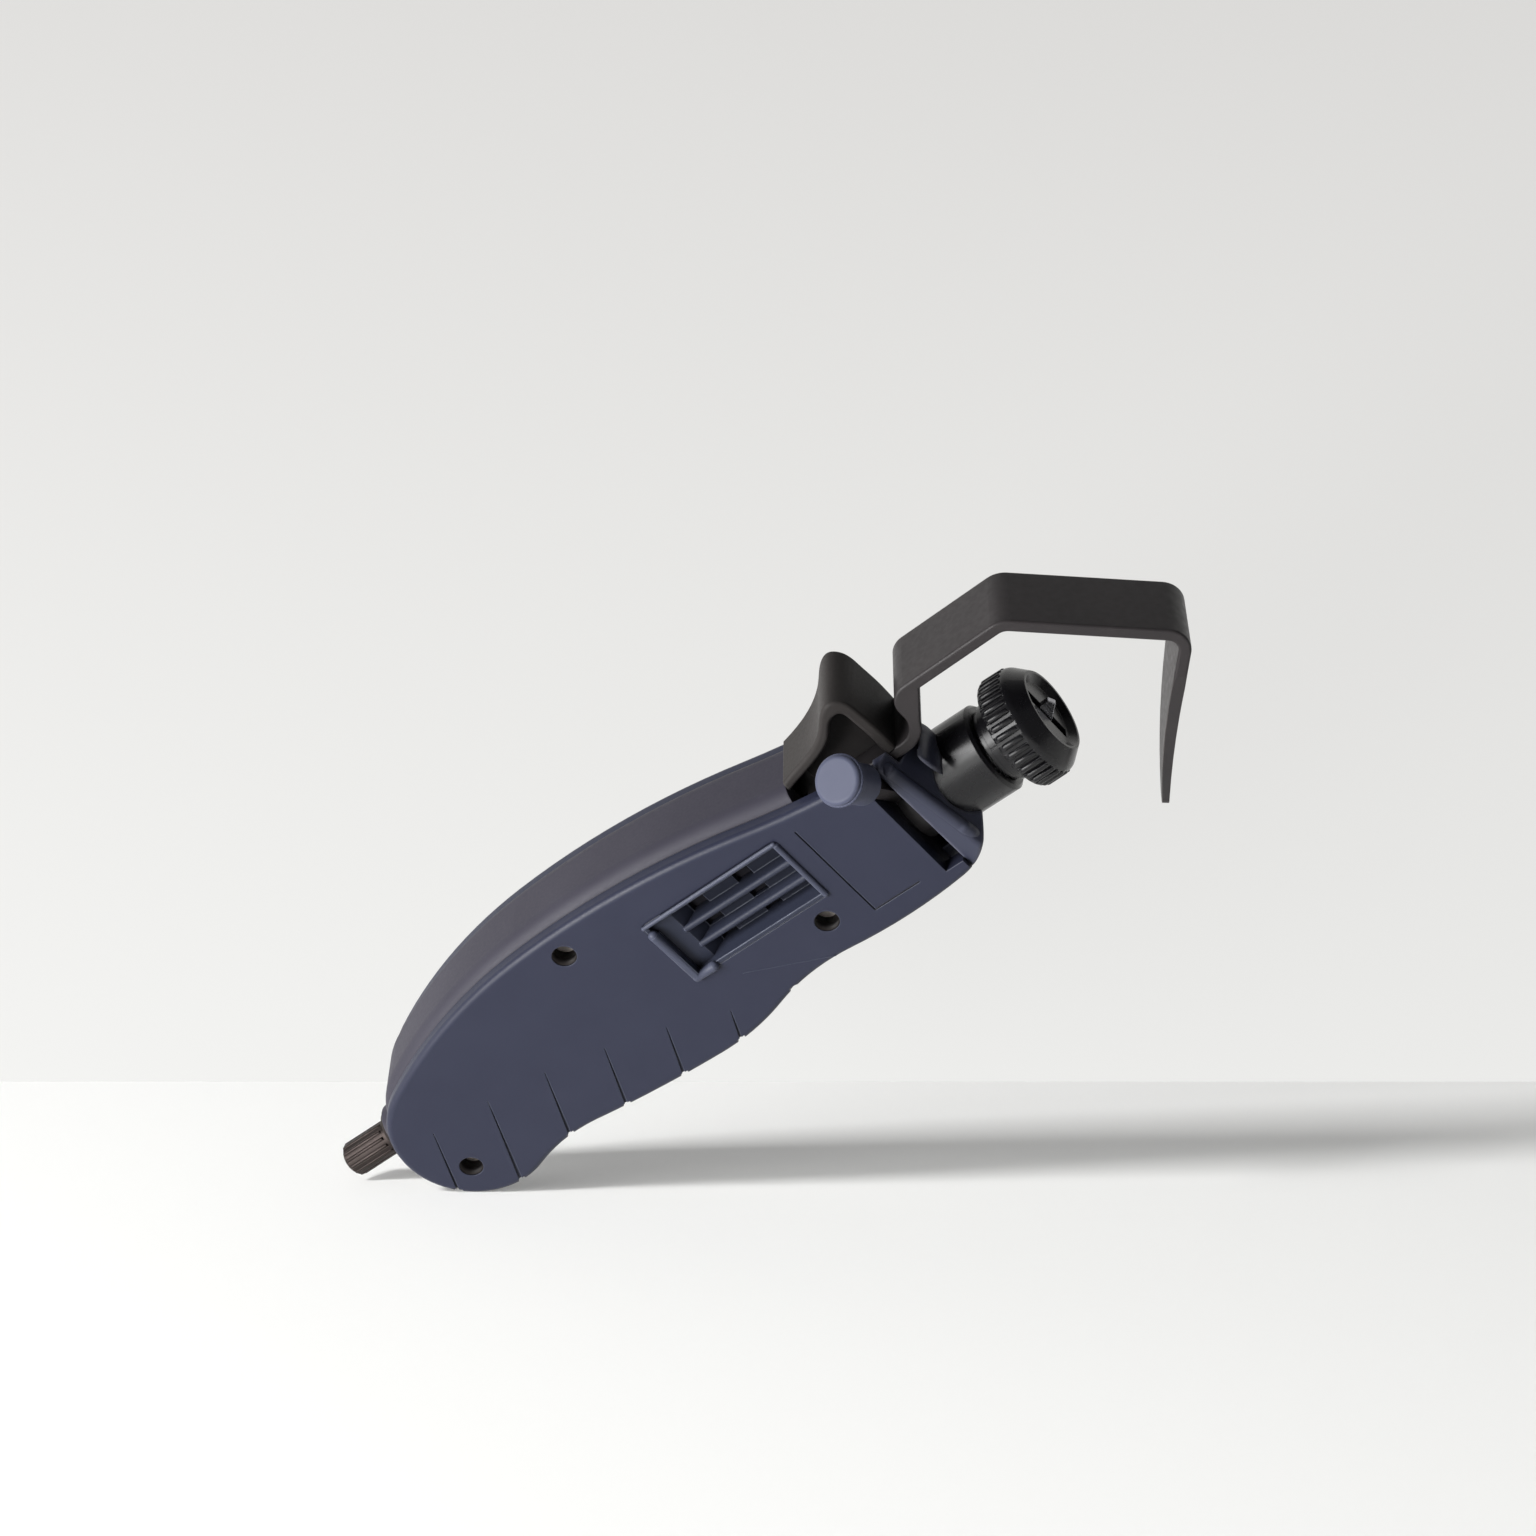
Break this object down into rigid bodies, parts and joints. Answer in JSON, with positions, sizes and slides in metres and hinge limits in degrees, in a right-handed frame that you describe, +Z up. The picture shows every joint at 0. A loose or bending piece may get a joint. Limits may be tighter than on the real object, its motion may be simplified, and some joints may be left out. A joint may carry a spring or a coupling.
{
  "type": "cable sheath stripping knife",
  "caption": "Palm-sized cable sheath stripper with a sprung V hook on a thumb slider, a swivelling blade head with a direction lever, and a depth screw at the tail.",
  "frame": {"origin": "on the outer face of the right cover, under the point of the spindle axis that lies 66 mm behind the nose's front face", "axes": "+X from the tail knob to the hook along the spindle, +Y to the thumb side, +Z up from the face that the tool lies on"},
  "size_m": [0.1934, 0.0578, 0.0337],
  "materials": {
    "blue_cover": "fine satin slate blue",
    "blue_button": "satin slate blue",
    "grey_spine": "matte dark grey",
    "rack_plastic": "matte slate blue",
    "black_plastic": "matte black",
    "black_gloss": "polished black",
    "coated_steel": "satin black coating",
    "plain_steel": "plain turned steel",
    "dark_fasteners": "blackened steel",
    "blade_steel": "ground tool steel",
    "tail_metal": "bronzed steel"
  },
  "bodies": {
    "handle": {"left_cover": "blue_cover", "right_cover": "blue_cover", "core_frame": "grey_spine", "nose_block": "blue_cover", "barrel": "black_gloss", "wave_washer": "plain_steel", "blade_rack": "rack_plastic", "case_screws": "dark_fasteners", "tail_bush": "tail_metal", "spring_anchor_pin": "plain_steel", "return_spring": "plain_steel"},
    "hook_slide": {"hook": "coated_steel", "thumb_slider": "black_plastic", "slider_screws": "dark_fasteners", "hook_carriage": "black_plastic", "carriage_rivets": "dark_fasteners"},
    "blade_head": {"carrier_tube": "plain_steel", "lever_arm": "coated_steel", "lever_button": "blue_button", "index_collar": "black_gloss", "blade_knob": "black_gloss"},
    "depth_screw": {"depth_spindle": "plain_steel", "thrust_collar": "plain_steel", "tail_knob": "tail_metal"},
    "blade_feed": {"blade_plunger": "plain_steel", "blade": "blade_steel", "blade_screw": "dark_fasteners"}
  },
  "joints": [
    {"name": "hook_slide", "type": "slide", "parent": "handle", "child": "hook_slide", "axis": [1, 0, 0], "range_m": [0, 0.021], "stiffness_N_per_m": 300, "springref_m": -0.03, "deforming": ["return_spring"]},
    {"name": "head_swivel", "type": "hinge", "parent": "handle", "child": "blade_head", "pos_m": [0, 0, 0.011], "axis": [1, 0, 0], "range_deg": [0, 80]},
    {"name": "depth_turn", "type": "hinge", "parent": "handle", "child": "depth_screw", "pos_m": [0, 0, 0.011], "axis": [1, 0, 0], "range_deg": [0, 2160]},
    {"name": "blade_feed", "type": "slide", "parent": "blade_head", "child": "blade_feed", "axis": [1, 0, 0], "range_m": [0, 0.0042]}
  ],
  "couplings": [
    {"joint": "depth_turn", "follows": "blade_feed", "rad_per_m": 8976}
  ]
}
